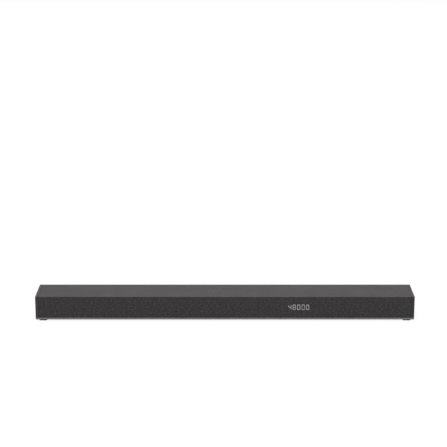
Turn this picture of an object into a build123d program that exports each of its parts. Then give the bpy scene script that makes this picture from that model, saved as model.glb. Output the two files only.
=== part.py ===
from build123d import *
import os

# Soundbar: a long, low loudspeaker cabinet with a cloth front, for the shelf under a screen.
# X runs along the bar, the cloth front faces -Y and Z is up. The feet stand on Z = 0,
# and the origin is the middle of the footprint. All sizes are in millimetres.

os.makedirs("parts", exist_ok=True)

# Whole bar
bar_length = 1050.0
bar_depth = 110.0
bar_height = 71.0
shell_wall = 3.0
seam = 0.3  # gap between neighbouring shell pieces
slip = 0.2  # clearance round a piece that sits in a hole
edge_round = 0.8

# Feet
foot_height = 3.5
foot_length = 21.0
foot_width = 14.0
foot_corner = 3.0
foot_end_inset = 20.0  # to the middle of a foot
foot_edge_inset = 13.4

# Bottom tray
chamfer_rise = 5.5
chamfer_run = 3.5
lip_land = 0.8
lip_wall = 5.0
locating_rib = 2.5
tray_rib_height = 5.5

# Top cover
rear_skirt = 8.0
front_lip = 1.6
front_lip_depth = 9.0
cover_rib_overlap = 4.0

# End caps
end_cap_width = 8.5
end_cap_round = 1.2
cap_tab_reach = 14.0
cap_tab_width = 24.0
cap_tab_thickness = 5.0

# Grille: cloth stretched over a moulded lattice, pegged to the baffle
cloth_inset = 0.4
cloth_thickness = 0.8
lattice_thickness = 3.0
lattice_border = 4.0
lattice_bar = 3.0
lattice_columns = 20
lattice_rows = 2
peg_size = 4.0
peg_shares = (0.11, 0.28)  # of the half length, for the inner pegs
peg_end_inset = 30.0

# Baffle and chamber walls
baffle_setback = 14.0
baffle_wall = 3.0
chamber_gap = 5.0  # from a woofer's flange to the chamber wall

# Racetrack woofers
woofer_share = 0.63  # place along the half length
woofer_length = 106.0
woofer_height = 54.0
woofer_corner = 9.0
woofer_flange = 2.0
flange_width = 4.0  # from the basket's wall to the flange's edge
basket_depth = 24.0
basket_wall = 1.5
basket_window = 20.0
diaphragm_wall = 1.5
roll_width = 5.5  # from the diaphragm's edge to the basket's wall
roll_height = 3.0
roll_wall = 0.7
roll_rest = 0.1  # film of glue under the roll's edges
landing = 1.5
coil_radius = 10.0
coil_wall = 0.6
coil_length = 28.0
coil_gap = 0.6
motor_radius = 18.5
motor_plate = 4.0
magnet_height = 10.0

# Tweeters
tweeter_share = 0.84
tweeter_flange_radius = 21.0
tweeter_body_radius = 17.0
tweeter_depth = 20.0
dome_radius = 12.5
dome_height = 3.5

# Display behind the cloth
display_share = 0.39
display_z = 38.5
display_length = 72.0
display_height = 24.0
lens_thickness = 1.2
led_block_depth = 5.0
display_board_margin = 7.0
receiver_size = 6.0

# Circuit boards
board_thickness = 1.6
board_margin = 23.0  # from the tub and from the chamber wall
board_gap = 1.5  # to the pillars before and behind a board
post_size = 7.0
post_height = 5.0
post_inset = 6.0

# Parts on the power and amplifier boards
transformer_length = 34.0
transformer_depth = 30.0
transformer_height = 26.0
capacitor_radius = 9.0
capacitor_height = 30.0
heatsink_length = 80.0
heatsink_depth = 34.0
heatsink_base = 4.0
heatsink_fin = 1.6
heatsink_fins = 9
heatsink_height = 24.0

# Connector tub at the back, and the main board behind it
tub_length = 190.0
tub_height = 28.0
tub_z = 31.0
tub_depth = 25.0
tub_wall = 2.0
frame_margin = 16.0
main_board_overhang = 3.0
main_board_height = 42.0
main_board_gap = 14.4
standoff_size = 6.0
standoff_inset = 6.0
standoff_z = 10.5
socket_proud = 0.4

# Sockets
inlet_share = -0.358  # place along the tub, from its middle
inlet_length = 27.0
inlet_height = 19.0
inlet_mouth_length = 18.6
inlet_mouth_height = 9.6
inlet_mouth_depth = 11.0
inlet_pin_radius = 1.2
inlet_pin_spacing = 8.8
inlet_pin_length = 9.0
data_share = -0.179
data_length = 14.6
data_height = 7.4
optical_share = -0.042
optical_size = 14.0
optical_mouth = 10.0
optical_depth = 12.5
shutter_wall = 0.8
shutter_inset = 0.8
shutter_gap = 0.3
shutter_barrel = 0.7
jack_share = 0.084
jack_size = 9.0
jack_bore_radius = 1.8
jack_bore_length = 14.0
video_out_share = 0.221
video_in_share = 0.358
video_length = 16.0
video_height = 6.6
socket_shell = 0.8
socket_tongue = 1.2
socket_mouth_depth = 10.0

# Chips and the radio module on the main board
processor_size = 22.0
processor_height = 3.0
processor_share = -0.16
radio_length = 26.0
radio_height = 18.0
radio_thickness = 2.4
radio_share = 0.4

# Wall fixing at the back
insert_x = 400.0
insert_z = 36.0
insert_size = 6.4  # across the corners of the hexagon
insert_bore_radius = 1.65
insert_length = 10.0
insert_boss = 13.0

# Vents at the back
vent_z = 36.0
vent_count = 8
vent_pitch = 9.0
vent_width = 2.5
vent_height = 22.0

# Keys in the top
key_pitch = 26.0
key_y = 14.0
key_length = 18.0
key_width = 8.0
key_corner = 2.0
key_drop = 0.2  # below the top of the cover
key_gap = 0.25
key_flange = 1.5
key_flange_thickness = 1.2
key_stem_size = 4.0
key_stem = 2.4
key_travel = 0.8
key_rest_gap = 0.1
key_board_margin = 8.0
key_board_depth = 18.0
switch_size = 6.0
switch_height = 2.6
key_post_size = 5.0

# Hexagon-head screws through the tray, and the pillars that they go into
screw_size = 3.0  # across the corners of the shank
screw_head = 6.0
screw_head_height = 1.4
screw_length = 9.0
boss_size = 8.0
boss_rear_gap = 0.8  # to the cover's rib
boss_front_gap = 2.0  # to the baffle
boss_end_inset = 45.0
boss_tub_gap = 25.0
boss_woofer_inset = 30.0

# Where the main surfaces are
x_end = bar_length / 2
x_body = x_end - end_cap_width
body_half = x_body - seam
y_front = -bar_depth / 2
y_rear = bar_depth / 2
z_under = foot_height
z_floor = z_under + shell_wall
z_lip = z_under + chamfer_rise + lip_land
z_roof = bar_height - shell_wall
z_skirt = bar_height - rear_skirt
y_panel = y_rear - shell_wall
y_rib_back = y_panel - slip
y_rib_front = y_rib_back - locating_rib
y_cloth = y_front + cloth_inset
y_lattice = y_cloth + cloth_thickness
y_lattice_back = y_lattice + lattice_thickness
y_baffle = y_front + baffle_setback
y_baffle_back = y_baffle + baffle_wall
z_driver = (z_floor + z_roof) / 2
y_flange = y_baffle - woofer_flange
z_board = z_floor + post_height
z_grille_low = z_lip + seam
z_grille_high = bar_height - front_lip - seam

basket_length = woofer_length - 2 * flange_width
basket_height = woofer_height - 2 * flange_width
opening_length = basket_length - 2 * basket_wall
opening_height = basket_height - 2 * basket_wall
diaphragm_length = opening_length - 2 * roll_width
diaphragm_height = opening_height - 2 * roll_width
woofer_x = woofer_share * x_end
tweeter_x = tweeter_share * x_end
display_x = display_share * x_end
chamber_wall_x = woofer_x - woofer_length / 2 - chamber_gap
board_length = chamber_wall_x - tub_length / 2 - 2 * board_margin
board_x = (chamber_wall_x + tub_length / 2) / 2
inlet_x = inlet_share * tub_length
data_x = data_share * tub_length
optical_x = optical_share * tub_length
jack_x = jack_share * tub_length
video_out_x = video_out_share * tub_length
video_in_x = video_in_share * tub_length

mirrored = (-1, 1)
sides = {"left": -1, "right": 1}
foot_points = [
    (sx * (x_end - foot_end_inset), sy * (bar_depth / 2 - foot_edge_inset))
    for sx in mirrored
    for sy in mirrored
]
boss_rear_y = y_rib_front - boss_rear_gap - boss_size / 2
boss_front_y = y_baffle_back + boss_front_gap + boss_size / 2
board_depth = boss_rear_y - boss_front_y - boss_size - 2 * board_gap
board_y = (boss_rear_y + boss_front_y) / 2
boss_front_x = (tub_length / 2 + boss_tub_gap, x_end - boss_end_inset)
boss_rear_x = (*boss_front_x, woofer_x - boss_woofer_inset)
boss_points = [(s * x, boss_rear_y) for s in mirrored for x in boss_rear_x]
boss_points += [(s * x, boss_front_y) for s in mirrored for x in boss_front_x]
tab_points = [(s * (x_body - cap_tab_reach / 2), 0.0) for s in mirrored]
screw_points = boss_points + tab_points
screw_bore = screw_size + 2 * slip


def facing_front(y):
    # A drawing plane at depth y that faces the listener: X to the right, Z up
    return Plane.XZ.offset(-y)


def save(piece, name):
    piece.part.label = name
    export_step(piece.part, f"parts/{name}.step")


# Bottom tray: floor, front lip with its chamfer, a sill under each end cap, and a rib behind
def board_posts(x):
    half_x = board_length / 2 - post_inset
    half_y = board_depth / 2 - post_inset
    return [(x + sx * half_x, board_y + sy * half_y) for sx in mirrored for sy in mirrored]


with BuildPart() as bottom_tray:
    with BuildSketch(Plane.YZ):
        with BuildLine():
            Polyline(
                (y_front + chamfer_run, z_under),
                (y_front, z_under + chamfer_rise),
                (y_front, z_lip),
                (y_front + lip_wall, z_lip),
                (y_front + lip_wall, z_floor),
                (y_rib_front, z_floor),
                (y_rib_front, z_floor + tray_rib_height),
                (y_rib_back, z_floor + tray_rib_height),
                (y_rib_back, z_floor),
                (y_rear, z_floor),
                (y_rear, z_under),
                close=True,
            )
        make_face()
    extrude(amount=x_body, both=True)
    for side in mirrored:
        with BuildSketch(Plane.YZ.offset(side * x_body)):
            with BuildLine():
                Polyline(
                    (y_front + chamfer_run, z_under),
                    (y_front, z_under + chamfer_rise),
                    (y_front, z_lip),
                    (y_rear, z_lip),
                    (y_rear, z_under),
                    close=True,
                )
            make_face()
        extrude(amount=side * end_cap_width)
    with BuildSketch(Plane.XY.offset(z_floor)):
        with Locations(*board_posts(-board_x), *board_posts(board_x)):
            Rectangle(post_size, post_size)
    extrude(amount=post_height)
    with BuildSketch(Plane.XY.offset(z_under)):
        with Locations(*screw_points):
            Rectangle(screw_bore, screw_bore)
    extrude(amount=shell_wall, mode=Mode.SUBTRACT)
    with BuildSketch(Plane.XY.offset(z_under)):
        with Locations(*screw_points):
            Rectangle(screw_head + 2 * slip, screw_head + 2 * slip)
    extrude(amount=screw_head_height, mode=Mode.SUBTRACT)
save(bottom_tray, "bottom_tray")

with BuildPart() as housing_screws:
    with BuildSketch(Plane.XY.offset(z_under)):
        with Locations(*screw_points):
            RegularPolygon(screw_head / 2, 6)
    extrude(amount=screw_head_height)
    with BuildSketch(Plane.XY.offset(z_under + screw_head_height)):
        with Locations(*screw_points):
            RegularPolygon(screw_size / 2, 6)
    extrude(amount=screw_length - screw_head_height)
save(housing_screws, "housing_screws")

# Feet: rubber pads stuck under the corners of the tray
with BuildPart() as feet:
    with BuildSketch(Plane.XY):
        with Locations(*foot_points):
            RectangleRounded(foot_length, foot_width, foot_corner)
    extrude(amount=foot_height)
save(feet, "feet")

# Rear panels: an upright plate each side of the connector frame, with vents and a wall-fixing boss
z_panel_top = z_skirt - seam
frame_half = tub_length / 2 + frame_margin
panel_length = body_half - frame_half - seam
with BuildPart() as right_rear_panel:
    with BuildSketch(facing_front(y_rear)):
        with Locations((body_half - panel_length / 2, (z_floor + z_panel_top) / 2)):
            Rectangle(panel_length, z_panel_top - z_floor)
        with Locations((board_x, vent_z)):
            with GridLocations(vent_pitch, 0, vent_count, 1):
                Rectangle(vent_width, vent_height, mode=Mode.SUBTRACT)
    extrude(amount=shell_wall)
    with BuildSketch(facing_front(y_panel)):
        with Locations((insert_x, insert_z)):
            Rectangle(insert_boss, insert_boss)
    extrude(amount=insert_length)
    with BuildSketch(facing_front(y_rear)):
        with Locations((insert_x, insert_z)):
            RegularPolygon(insert_size / 2, 6)
    extrude(amount=insert_length, mode=Mode.SUBTRACT)
save(right_rear_panel, "right_rear_panel")

with BuildPart() as left_rear_panel:
    mirror(right_rear_panel.part, about=Plane.YZ)
save(left_rear_panel, "left_rear_panel")

with BuildPart() as wall_inserts:
    with BuildSketch(facing_front(y_rear)):
        with Locations((-insert_x, insert_z), (insert_x, insert_z)):
            RegularPolygon(insert_size / 2, 6)
            Circle(insert_bore_radius, mode=Mode.SUBTRACT)
    extrude(amount=insert_length)
save(wall_inserts, "wall_inserts")

# Keys: flush caps with a flange under the cover and a stem over each switch
key_names = ("power", "source", "volume_down", "volume_up")
key_places = [((i - (len(key_names) - 1) / 2) * key_pitch, key_y) for i in range(len(key_names))]
z_key_flange = z_roof - key_flange_thickness
z_key_stem = z_key_flange - key_stem
z_switch_top = z_key_stem - key_travel - key_rest_gap
z_key_board = z_switch_top - switch_height
key_board_length = key_pitch * (len(key_names) - 1) + key_length + 2 * key_board_margin
key_post_x = (key_board_length - key_post_size) / 2

for key_name, key_place in zip(key_names, key_places):
    with BuildPart() as key:
        with BuildSketch(Plane.XY.offset(z_roof)):
            with Locations(key_place):
                RectangleRounded(key_length, key_width, key_corner)
        extrude(amount=shell_wall - key_drop)
        with BuildSketch(Plane.XY.offset(z_roof)):
            with Locations(key_place):
                Rectangle(key_length + 2 * key_flange, key_width + 2 * key_flange)
        extrude(amount=-key_flange_thickness)
        with BuildSketch(Plane.XY.offset(z_key_flange)):
            with Locations(key_place):
                Rectangle(key_stem_size, key_stem_size)
        extrude(amount=-key_stem)
    save(key, f"{key_name}_key")

with BuildPart() as key_board:
    with BuildSketch(Plane.XY.offset(z_key_board)):
        with Locations((0, key_y)):
            Rectangle(key_board_length, key_board_depth)
    extrude(amount=-board_thickness)
save(key_board, "key_board")

with BuildPart() as key_switches:
    with BuildSketch(Plane.XY.offset(z_key_board)):
        with Locations(*key_places):
            Rectangle(switch_size, switch_size)
    extrude(amount=switch_height)
save(key_switches, "key_switches")

# Top cover: roof plate with a thin front edge, a rear skirt and key openings
with BuildPart() as top_cover:
    with BuildSketch(Plane.YZ) as cover_section:
        with BuildLine():
            Polyline(
                (y_front, bar_height - front_lip),
                (y_front, bar_height),
                (y_rear, bar_height),
                (y_rear, z_skirt),
                (y_rib_back, z_skirt),
                (y_rib_back, z_skirt - cover_rib_overlap),
                (y_rib_front, z_skirt - cover_rib_overlap),
                (y_rib_front, z_roof),
                (y_front + front_lip_depth, z_roof),
                (y_front + front_lip_depth, bar_height - front_lip),
                close=True,
            )
        make_face()
        fillet(cover_section.vertices().sort_by(Axis.Y)[-2:], edge_round)
    extrude(amount=body_half, both=True)
    with BuildSketch(Plane.XY.offset(z_roof)):
        with Locations(*key_places):
            RectangleRounded(key_length + 2 * key_gap, key_width + 2 * key_gap, key_corner + key_gap)
    extrude(amount=shell_wall, mode=Mode.SUBTRACT)
    with BuildSketch(Plane.XY.offset(z_roof)):
        with Locations((-key_post_x, key_y), (key_post_x, key_y)):
            Rectangle(key_post_size, key_post_size)
    extrude(amount=-(z_roof - z_key_board))
save(top_cover, "top_cover")

# Pillars: spacers under the cover that the tray's screws go into
with BuildPart() as cover_pillars:
    with BuildSketch(Plane.XY.offset(z_floor)):
        with Locations(*boss_points):
            Rectangle(boss_size, boss_size)
            Rectangle(screw_bore, screw_bore, mode=Mode.SUBTRACT)
    extrude(amount=z_roof - z_floor)
save(cover_pillars, "cover_pillars")

# End caps: cups on the tray's sills, each with a foot inside that the tray is screwed to
cap_wall = shell_wall
z_cap = z_lip + seam
with BuildPart() as right_end_cap:
    with BuildSketch(Plane.YZ.offset(x_body)) as cap_section:
        with Locations((0, (z_cap + bar_height) / 2)):
            Rectangle(bar_depth, bar_height - z_cap)
    extrude(amount=end_cap_width)
    fillet(right_end_cap.faces().sort_by(Axis.X)[-1].edges(), end_cap_round)
    with BuildSketch(Plane.YZ.offset(x_body)):
        offset(cap_section.sketch_local, amount=-cap_wall, kind=Kind.INTERSECTION)
    extrude(amount=end_cap_width - cap_wall, mode=Mode.SUBTRACT)
    with BuildSketch(Plane.XY.offset(z_cap)):
        with Locations((x_body - cap_tab_reach, 0)):
            Rectangle(
                cap_tab_reach + end_cap_width - cap_wall,
                cap_tab_width,
                align=(Align.MIN, Align.CENTER),
            )
    extrude(amount=cap_tab_thickness)
    with BuildSketch(Plane.XY.offset(z_floor)):
        with Locations((x_body - cap_tab_reach, 0)):
            Rectangle(cap_tab_reach - slip, cap_tab_width, align=(Align.MIN, Align.CENTER))
    extrude(amount=z_cap - z_floor)
    with BuildSketch(Plane.XY.offset(z_floor)):
        with Locations(tab_points[-1]):
            Rectangle(screw_bore, screw_bore)
    extrude(amount=z_cap + cap_tab_thickness - z_floor, mode=Mode.SUBTRACT)
save(right_end_cap, "right_end_cap")

with BuildPart() as left_end_cap:
    mirror(right_end_cap.part, about=Plane.YZ)
save(left_end_cap, "left_end_cap")

# Front baffle: upright plate that carries the drivers, with a chamber wall each side
peg_between = (woofer_x + woofer_length / 2 + tweeter_x - tweeter_flange_radius) / 2
peg_positions = [*(share * x_end for share in peg_shares), peg_between, x_end - peg_end_inset]
peg_points = [(s * x, z_driver) for s in mirrored for x in peg_positions]
woofer_points = [(sign * woofer_x, z_driver) for sign in mirrored]
tweeter_points = [(sign * tweeter_x, z_driver) for sign in mirrored]
display_board_length = display_length + 2 * display_board_margin
display_board_height = display_height + 2 * display_board_margin
y_lens = y_lattice
y_led_block = y_lens + lens_thickness
y_display_board = y_led_block + led_block_depth
y_display_posts = y_display_board + board_thickness
display_posts = [
    (
        display_x + sx * (display_board_length - post_size) / 2,
        display_z + sz * (display_board_height - post_size) / 2,
    )
    for sx in mirrored
    for sz in mirrored
]

with BuildPart() as front_baffle:
    with BuildSketch(facing_front(y_baffle_back)):
        with Locations((0, z_driver)):
            Rectangle(2 * body_half, z_roof - z_floor)
        with Locations(*woofer_points):
            SlotOverall(basket_length + 2 * slip, basket_height + 2 * slip, mode=Mode.SUBTRACT)
        with Locations(*tweeter_points):
            Circle(tweeter_body_radius + slip, mode=Mode.SUBTRACT)
        with Locations(*peg_points):
            Rectangle(peg_size + 2 * slip, peg_size + 2 * slip, mode=Mode.SUBTRACT)
    extrude(amount=baffle_wall)
    with BuildSketch(facing_front(y_baffle)):
        with Locations(*display_posts):
            Rectangle(post_size, post_size)
    extrude(amount=y_baffle - y_display_posts)
    for side in mirrored:
        with BuildSketch(facing_front(y_baffle_back)):
            with Locations((side * chamber_wall_x, z_driver)):
                Rectangle(baffle_wall, z_roof - z_floor)
        extrude(amount=-(y_rib_front - seam - y_baffle_back))
save(front_baffle, "front_baffle")

# Grille lattice: moulded frame with a window for the display, pegged into the baffle
z_grille = (z_grille_low + z_grille_high) / 2
lattice_length = 2 * (body_half - cloth_thickness)
lattice_height = z_grille_high - z_grille_low - 2 * cloth_thickness
cell_pitch_x = (lattice_length - 2 * lattice_border + lattice_bar) / lattice_columns
cell_pitch_z = (lattice_height - 2 * lattice_border + lattice_bar) / lattice_rows

with BuildPart() as grille_lattice:
    with BuildSketch(facing_front(y_lattice_back)):
        with Locations((0, z_grille)):
            Rectangle(lattice_length, lattice_height)
            with GridLocations(cell_pitch_x, cell_pitch_z, lattice_columns, lattice_rows):
                Rectangle(cell_pitch_x - lattice_bar, cell_pitch_z - lattice_bar, mode=Mode.SUBTRACT)
        with Locations(*peg_points):
            Rectangle(peg_size + lattice_bar, peg_size + lattice_bar)
        with Locations((display_x, display_z)):
            Rectangle(display_length + 2 * lattice_bar, display_height + 2 * lattice_bar)
            Rectangle(display_length + 2 * slip, display_height + 2 * slip, mode=Mode.SUBTRACT)
    extrude(amount=lattice_thickness)
    with BuildSketch(facing_front(y_lattice_back)):
        with Locations(*peg_points):
            Rectangle(peg_size, peg_size)
    extrude(amount=-(y_baffle_back - y_lattice_back))
save(grille_lattice, "grille_lattice")

# Grille cloth: stretched over the lattice and turned round its edges
with BuildPart() as grille_cloth:
    with BuildSketch(facing_front(y_lattice_back)):
        with Locations((0, z_grille)):
            Rectangle(2 * body_half, z_grille_high - z_grille_low)
    extrude(amount=lattice_thickness + cloth_thickness)
    chamfer(grille_cloth.faces().sort_by(Axis.Y)[0].edges(), cloth_thickness / 2)
    with BuildSketch(facing_front(y_lattice_back)):
        with Locations((0, z_grille)):
            Rectangle(lattice_length, lattice_height)
    extrude(amount=lattice_thickness, mode=Mode.SUBTRACT)
save(grille_cloth, "grille_cloth")

# Display: smoked lens, light block with its digit cells, board and remote-control receiver
with BuildPart() as display_lens:
    with BuildSketch(facing_front(y_led_block)):
        with Locations((display_x, display_z)):
            Rectangle(display_length, display_height)
    extrude(amount=lens_thickness)
save(display_lens, "display_lens")

with BuildPart() as display_block:
    with BuildSketch(facing_front(y_display_board)):
        with Locations((display_x, display_z)):
            Rectangle(display_length, display_height)
    extrude(amount=led_block_depth)
save(display_block, "display_block")

with BuildPart() as display_board:
    with BuildSketch(facing_front(y_display_posts)):
        with Locations((display_x, display_z)):
            Rectangle(display_board_length, display_board_height)
    extrude(amount=board_thickness)
save(display_board, "display_board")

with BuildPart() as remote_receiver:
    with BuildSketch(facing_front(y_display_board)):
        with Locations((display_x + (display_length + display_board_margin) / 2 + slip, display_z)):
            Rectangle(receiver_size, receiver_size)
    extrude(amount=y_display_board - y_lattice_back - slip)
save(remote_receiver, "remote_receiver")


# Woofer pieces, drawn once in the middle of the baffle and copied to each side
def woofer_plane(depth):
    # Faces the back, at a depth behind the front of the woofer's flange
    return Plane(origin=(0, y_flange + depth, z_driver), x_dir=(1, 0, 0), z_dir=(0, 1, 0))


def save_pair(piece, name, x):
    # One node with a copy on each side of the bar
    with BuildPart() as pair:
        with Locations((-x, 0, 0), (x, 0, 0)):
            add(piece.part)
    save(pair, name)


woofer_section = Plane(origin=(0, y_flange, z_driver), x_dir=(1, 0, 0), z_dir=(0, 0, 1))
woofer_axis = Axis((0, y_flange, z_driver), (0, 1, 0))

# Baskets: a flange on the baffle and an oval pot with a window each side
with BuildPart() as basket:
    with BuildSketch(woofer_plane(0)) as flange_outline:
        Rectangle(woofer_length, woofer_height)
        chamfer(flange_outline.vertices(), woofer_corner)
    extrude(amount=woofer_flange)
    with BuildSketch(woofer_plane(0)):
        SlotOverall(basket_length, basket_height)
    extrude(amount=basket_depth)
    with BuildSketch(woofer_plane(0)):
        SlotOverall(opening_length, opening_height)
    extrude(amount=basket_depth - basket_wall, mode=Mode.SUBTRACT)
    with BuildSketch(woofer_plane(basket_depth - basket_wall)):
        Circle(coil_radius + coil_gap)
    extrude(amount=basket_wall, mode=Mode.SUBTRACT)
    with BuildSketch(Plane.YZ):
        with Locations((y_flange + basket_depth / 2, z_driver)):
            Rectangle(basket_depth / 3, basket_window)
    extrude(amount=basket_length, both=True, mode=Mode.SUBTRACT)
save_pair(basket, "woofer_baskets", woofer_x)

# Magnets between their steel plates, with a round gap for the voice coil
motor_depth = basket_depth + 2 * motor_plate + magnet_height
with BuildPart() as motor:
    with BuildSketch(woofer_section):
        with BuildLine():
            Polyline(
                (0, basket_depth),
                (coil_radius - coil_wall - coil_gap, basket_depth),
                (coil_radius - coil_wall - coil_gap, motor_depth - motor_plate),
                (coil_radius + coil_gap, motor_depth - motor_plate),
                (coil_radius + coil_gap, basket_depth),
                (motor_radius, basket_depth),
                (motor_radius, motor_depth),
                (0, motor_depth),
                close=True,
            )
        make_face()
    revolve(axis=woofer_axis)
save_pair(motor, "woofer_motors", woofer_x)

# Diaphragms: a flat stiff oval with the voice-coil tube behind it
with BuildPart() as diaphragm:
    with BuildSketch(woofer_plane(0)):
        SlotOverall(diaphragm_length, diaphragm_height)
    extrude(amount=diaphragm_wall)
    with BuildSketch(woofer_plane(diaphragm_wall)):
        Circle(coil_radius)
        Circle(coil_radius - coil_wall, mode=Mode.SUBTRACT)
    extrude(amount=coil_length)

for side, sign in sides.items():
    with BuildPart() as placed_diaphragm:
        with Locations((sign * woofer_x, 0, 0)):
            add(diaphragm.part)
    save(placed_diaphragm, f"{side}_diaphragm")

# Surrounds: a rubber roll from each diaphragm's edge to the flange
y_roll = y_flange - roll_rest
y_crest = y_flange - roll_height
z_edge = z_driver + diaphragm_height / 2
straight = (diaphragm_length - diaphragm_height) / 2
end_radius = diaphragm_height / 2
with BuildPart() as surround:
    with BuildLine(woofer_plane(0)) as roll_path:
        Line((-straight, end_radius), (straight, end_radius))
        ThreePointArc((straight, end_radius), (diaphragm_length / 2, 0), (straight, -end_radius))
        Line((straight, -end_radius), (-straight, -end_radius))
        ThreePointArc((-straight, -end_radius), (-diaphragm_length / 2, 0), (-straight, end_radius))
    with BuildSketch(Plane.YZ.offset(-straight)):
        with BuildLine():
            Polyline(
                (y_roll, z_edge - landing),
                (y_roll, z_edge),
                (y_crest + roll_wall, z_edge + roll_width / 2),
                (y_roll, z_edge + roll_width),
                (y_roll, z_edge + roll_width + landing),
                (y_crest, z_edge + roll_width / 2),
                close=True,
            )
        make_face()
    sweep(path=roll_path.wires()[0])
save_pair(surround, "woofer_surrounds", woofer_x)

# Tweeters: dome, flange and magnet can in one, seated in the baffle
with BuildPart() as tweeter:
    with BuildSketch(Plane(origin=(0, y_baffle, z_driver), x_dir=(1, 0, 0), z_dir=(0, 0, 1))):
        with BuildLine():
            Polyline(
                (0, -woofer_flange - dome_height),
                (dome_radius, -woofer_flange),
                (tweeter_flange_radius, -woofer_flange),
                (tweeter_flange_radius, 0),
                (tweeter_body_radius, 0),
                (tweeter_body_radius, tweeter_depth),
                (0, tweeter_depth),
                close=True,
            )
        make_face()
    revolve(axis=Axis((0, y_baffle, z_driver), (0, 1, 0)))
save_pair(tweeter, "tweeters", tweeter_x)

# Power and amplifier boards on the tray's posts, with their parts
for board_name, x in (("power_board", -board_x), ("amplifier_board", board_x)):
    with BuildPart() as board:
        with BuildSketch(Plane.XY.offset(z_board)):
            with Locations((x, board_y)):
                Rectangle(board_length, board_depth)
        extrude(amount=board_thickness)
    save(board, board_name)

z_board_top = z_board + board_thickness
with BuildPart() as transformer:
    with BuildSketch(Plane.XY.offset(z_board_top)):
        with Locations((-board_x - board_length / 6, board_y)):
            Rectangle(transformer_length, transformer_depth)
    extrude(amount=transformer_height)
    chamfer(transformer.edges().filter_by(Axis.Z), transformer_depth / 8)
save(transformer, "transformer")

with BuildPart() as reservoir_capacitor:
    with BuildSketch(Plane.XY.offset(z_board_top)):
        with Locations((-board_x + board_length / 6, board_y)):
            Circle(capacitor_radius)
    extrude(amount=capacitor_height)
save(reservoir_capacitor, "reservoir_capacitor")

fin_pitch = (heatsink_length - heatsink_fin) / (heatsink_fins - 1)
with BuildPart() as heatsink:
    with BuildSketch(Plane.XZ.offset(-board_y)):
        with Locations((board_x, z_board_top)):
            Rectangle(heatsink_length, heatsink_base, align=(Align.CENTER, Align.MIN))
        with Locations((board_x, z_board_top + heatsink_base)):
            with GridLocations(fin_pitch, 0, heatsink_fins, 1):
                Rectangle(heatsink_fin, heatsink_height - heatsink_base, align=(Align.CENTER, Align.MIN))
    extrude(amount=heatsink_depth / 2, both=True)
save(heatsink, "heatsink")

# Connector tub: a frame between the rear panels, and a plate with an opening for each socket
y_tub_plate = y_rear - tub_depth
y_tub_back = y_tub_plate + tub_wall
y_main_back = y_tub_plate - main_board_gap
y_mouth = y_tub_back + socket_proud
socket_reach = y_mouth - y_main_back
socket_outlines = {
    inlet_x: (inlet_length, inlet_height),
    data_x: (data_length, data_height),
    optical_x: (optical_size, optical_size),
    jack_x: (jack_size, jack_size),
    video_out_x: (video_length, video_height),
    video_in_x: (video_length, video_height),
}
standoffs = [
    (sx * (tub_length / 2 - standoff_inset), tub_z + sz * standoff_z)
    for sx in mirrored
    for sz in mirrored
]

with BuildPart() as connector_frame:
    with BuildSketch(facing_front(y_rear)):
        with Locations((0, (z_floor + z_panel_top) / 2)):
            Rectangle(2 * frame_half, z_panel_top - z_floor)
    extrude(amount=shell_wall)
    with BuildSketch(facing_front(y_rear)):
        with Locations((0, tub_z)):
            Rectangle(tub_length, tub_height)
    extrude(amount=tub_depth)
    with BuildSketch(facing_front(y_rear)):
        with Locations((0, tub_z)):
            Rectangle(tub_length - 2 * tub_wall, tub_height - 2 * tub_wall)
    extrude(amount=tub_depth, mode=Mode.SUBTRACT)
save(connector_frame, "connector_frame")

with BuildPart() as connector_plate:
    with BuildSketch(facing_front(y_tub_back)):
        with Locations((0, tub_z)):
            Rectangle(tub_length - 2 * (tub_wall + slip), tub_height - 2 * (tub_wall + slip))
        for x, (length, height) in socket_outlines.items():
            with Locations((x, tub_z)):
                Rectangle(length + 2 * slip, height + 2 * slip, mode=Mode.SUBTRACT)
    extrude(amount=tub_wall)
save(connector_plate, "connector_plate")

with BuildPart() as board_standoffs:
    with BuildSketch(facing_front(y_tub_plate)):
        with Locations(*standoffs):
            Rectangle(standoff_size, standoff_size)
    extrude(amount=main_board_gap)
save(board_standoffs, "board_standoffs")

# Main board with its processor and radio module
with BuildPart() as main_board:
    with BuildSketch(facing_front(y_main_back)):
        with Locations((0, tub_z)):
            Rectangle(tub_length + 2 * main_board_overhang, main_board_height)
    extrude(amount=board_thickness)
save(main_board, "main_board")

y_main_front = y_main_back - board_thickness
with BuildPart() as processor:
    with BuildSketch(facing_front(y_main_front)):
        with Locations((processor_share * tub_length, tub_z)):
            Rectangle(processor_size, processor_size)
    extrude(amount=processor_height)
    chamfer(processor.faces().sort_by(Axis.Y)[0].edges(), processor_height / 4)
save(processor, "processor")

with BuildPart() as radio_module:
    with BuildSketch(facing_front(y_main_front)):
        with Locations((radio_share * tub_length, tub_z)):
            Rectangle(radio_length, radio_height)
    extrude(amount=radio_thickness)
save(radio_module, "radio_module")


# Sockets on the main board, their mouths in the tub
def socket_block(x, length, height):
    with BuildPart() as block:
        with BuildSketch(facing_front(y_mouth)):
            with Locations((x, tub_z)):
                Rectangle(length, height)
        extrude(amount=socket_reach)
    return block.part


with BuildPart() as power_inlet:
    add(socket_block(inlet_x, inlet_length, inlet_height))
    with BuildSketch(facing_front(y_mouth)):
        with Locations((inlet_x, tub_z)):
            SlotOverall(inlet_mouth_length, inlet_mouth_height)
    extrude(amount=inlet_mouth_depth, mode=Mode.SUBTRACT)
save(power_inlet, "power_inlet")

with BuildPart() as inlet_pins:
    with BuildSketch(facing_front(y_mouth - inlet_mouth_depth)):
        with Locations((inlet_x, tub_z)):
            with GridLocations(inlet_pin_spacing, 0, 2, 1):
                Circle(inlet_pin_radius)
    extrude(amount=-inlet_pin_length)
save(inlet_pins, "inlet_pins")


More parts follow.
